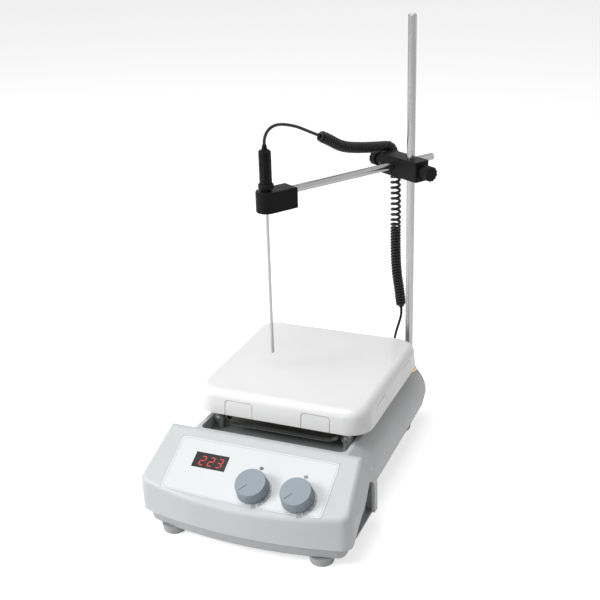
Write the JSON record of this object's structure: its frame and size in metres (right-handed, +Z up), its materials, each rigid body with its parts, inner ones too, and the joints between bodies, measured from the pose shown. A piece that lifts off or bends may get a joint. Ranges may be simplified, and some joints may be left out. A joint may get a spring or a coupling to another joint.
{
  "type": "hotplate magnetic stirrer",
  "caption": "Bench magnetic stirrer with a square heated plate, sloping control panel, support rod, clamped arm and a temperature probe on a curly cord.",
  "frame": {"origin": "on the surface it stands on, under the middle of the hot plate", "axes": "+Z up, +Y to the back, +X to the right as seen from the front"},
  "size_m": [0.215, 0.3588, 0.452],
  "materials": {
    "housing_grey": "satin light-grey moulding",
    "base_grey": "satin mid-grey moulding",
    "deck_grey": "matt dark-grey moulding",
    "rubber": "soft light-grey rubber",
    "overlay_white": "satin white film",
    "window_black": "dark tinted window",
    "module_black": "black moulded case",
    "knob_blue_grey": "satin blue-grey moulding",
    "indicator_grey": "smoked lens",
    "plate_white": "glossy white enamel",
    "steel_bright": "polished stainless steel",
    "steel_plain": "plain steel",
    "aluminium": "cast and machined",
    "board_green": "printed circuit board",
    "black_plastic": "black moulding",
    "black_cord": "black cord jacket",
    "insulation_wool": "pressed mineral board",
    "magnet_grey": "sintered magnet",
    "mica": "mica sheet with heating track",
    "brass": "turned brass",
    "transformer_yellow": "taped winding"
  },
  "bodies": {
    "base": {"upper_housing": "housing_grey", "base_pan": "base_grey", "deck": "deck_grey", "foot_front_left": "rubber", "foot_front_right": "rubber", "foot_rear_left": "rubber", "foot_rear_right": "rubber", "base_screws": "steel_plain", "motor_bracket": "steel_plain", "bracket_screws": "steel_plain", "motor": "steel_plain", "plate_posts": "steel_plain", "post_screws": "steel_plain", "heat_shield": "steel_bright", "insulation": "insulation_wool", "heating_element": "mica", "plate_core": "aluminium", "plate_sensor": "steel_plain", "plate_cover": "plate_white", "plate_frame": "plate_white", "panel_overlay": "overlay_white", "display_window": "window_black", "display_module": "module_black", "heat_indicator": "indicator_grey", "stir_indicator": "indicator_grey", "heat_encoder": "module_black", "stir_encoder": "module_black", "control_board": "board_green", "board_screws": "steel_plain", "power_board": "board_green", "power_pillars": "brass", "transformer": "transformer_yellow", "power_inlet": "black_plastic", "inlet_pins": "brass", "switch_frame": "black_plastic", "sensor_socket": "steel_plain", "sensor_plug": "black_plastic", "rod_bush": "brass", "cord_plug": "black_cord"},
    "heat_control": {"heat_knob": "knob_blue_grey", "heat_knob_shaft": "steel_plain"},
    "stir_control": {"stir_knob": "knob_blue_grey", "stir_knob_shaft": "steel_plain"},
    "rotor": {"drive_shaft": "steel_plain", "magnet_carrier": "aluminium", "magnets": "magnet_grey"},
    "power_rocker": {"rocker": "black_plastic"},
    "rod": {"support_rod": "steel_bright", "coil_hanging": "black_cord"},
    "clamp": {"boss_head": "black_plastic", "coil_over_arm": "black_cord"},
    "rod_screw": {"rod_thumbscrew": "black_plastic"},
    "arm_screw": {"arm_thumbscrew": "black_plastic"},
    "arm": {"arm_rod": "steel_bright", "sensor_holder": "black_plastic"},
    "probe": {"probe_needle": "steel_bright", "probe_collar": "black_plastic", "probe_handle": "black_plastic", "cord_boot": "black_plastic", "cord_probe": "black_cord"}
  },
  "joints": [
    {"name": "heat_knob_turn", "type": "hinge", "parent": "base", "child": "heat_control", "pos_m": [0.0092, -0.16911, 0.06088], "axis": [0, -0.4695, 0.8829], "range_deg": [-270, 0]},
    {"name": "stir_knob_turn", "type": "hinge", "parent": "base", "child": "stir_control", "pos_m": [0.0538, -0.16911, 0.06088], "axis": [0, -0.4695, 0.8829], "range_deg": [-270, 0]},
    {"name": "magnet_spin", "type": "hinge", "parent": "base", "child": "rotor", "pos_m": [0, 0, 0.0585], "axis": [0, 0, 1], "continuous": true},
    {"name": "power_rocker_tilt", "type": "hinge", "parent": "base", "child": "power_rocker", "pos_m": [-0.012, 0.117, 0.041], "axis": [0, 0, 1], "range_deg": [0, 14]},
    {"name": "arm_swing", "type": "hinge", "parent": "base", "child": "rod", "pos_m": [0.0747, 0.1046, 0.069], "axis": [0, 0, 1], "range_deg": [-35, 35], "deforming": ["cord_plug"]},
    {"name": "clamp_height", "type": "slide", "parent": "rod", "child": "clamp", "axis": [0, 0, 1], "range_m": [-0.012, 0.12], "deforming": ["coil_hanging"]},
    {"name": "rod_screw_turn", "type": "hinge", "parent": "clamp", "child": "rod_screw", "pos_m": [0.08957, 0.09538, 0.2968], "axis": [0.8499, -0.527, 0], "range_deg": [0, 360]},
    {"name": "arm_screw_turn", "type": "hinge", "parent": "clamp", "child": "arm_screw", "pos_m": [0.0424, 0.12462, 0.2968], "axis": [-0.8499, 0.527, 0], "range_deg": [0, 360]},
    {"name": "arm_reach", "type": "slide", "parent": "clamp", "child": "arm", "axis": [0.527, 0.8499, 0], "range_m": [-0.03, 0.08], "deforming": ["coil_over_arm"]},
    {"name": "probe_lift", "type": "slide", "parent": "arm", "child": "probe", "axis": [0, 0, 1], "range_m": [0, 0.06], "deforming": ["cord_probe"]}
  ]
}
